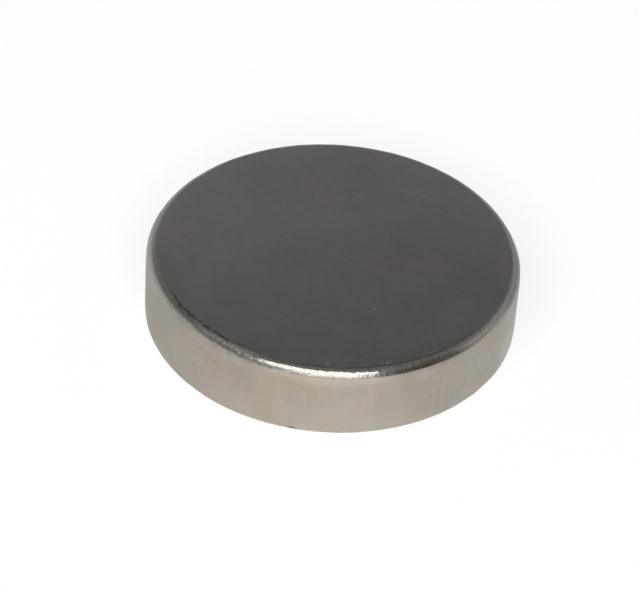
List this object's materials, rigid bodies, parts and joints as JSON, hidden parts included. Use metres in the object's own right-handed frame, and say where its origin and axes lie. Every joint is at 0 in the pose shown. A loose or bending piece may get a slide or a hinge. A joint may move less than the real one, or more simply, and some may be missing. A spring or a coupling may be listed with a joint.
{
  "type": "disc magnet",
  "caption": "Nickel-plated disc magnet: a flat round disc with a mirror-like face, a satin wall and rounded rims.",
  "frame": {"origin": "centre of the lower flat face", "axes": "+Z along the disc's axis, up out of the upper face; X and Y are any two crossed diameters"},
  "size_m": [0.014, 0.014, 0.003],
  "materials": {
    "nickel_plate": "bright nickel plate: hazy mirror on the faces, satin on the wall, small bright dents on the rims"
  },
  "bodies": {
    "root": {"disc_magnet": "nickel_plate"}
  },
  "joints": []
}
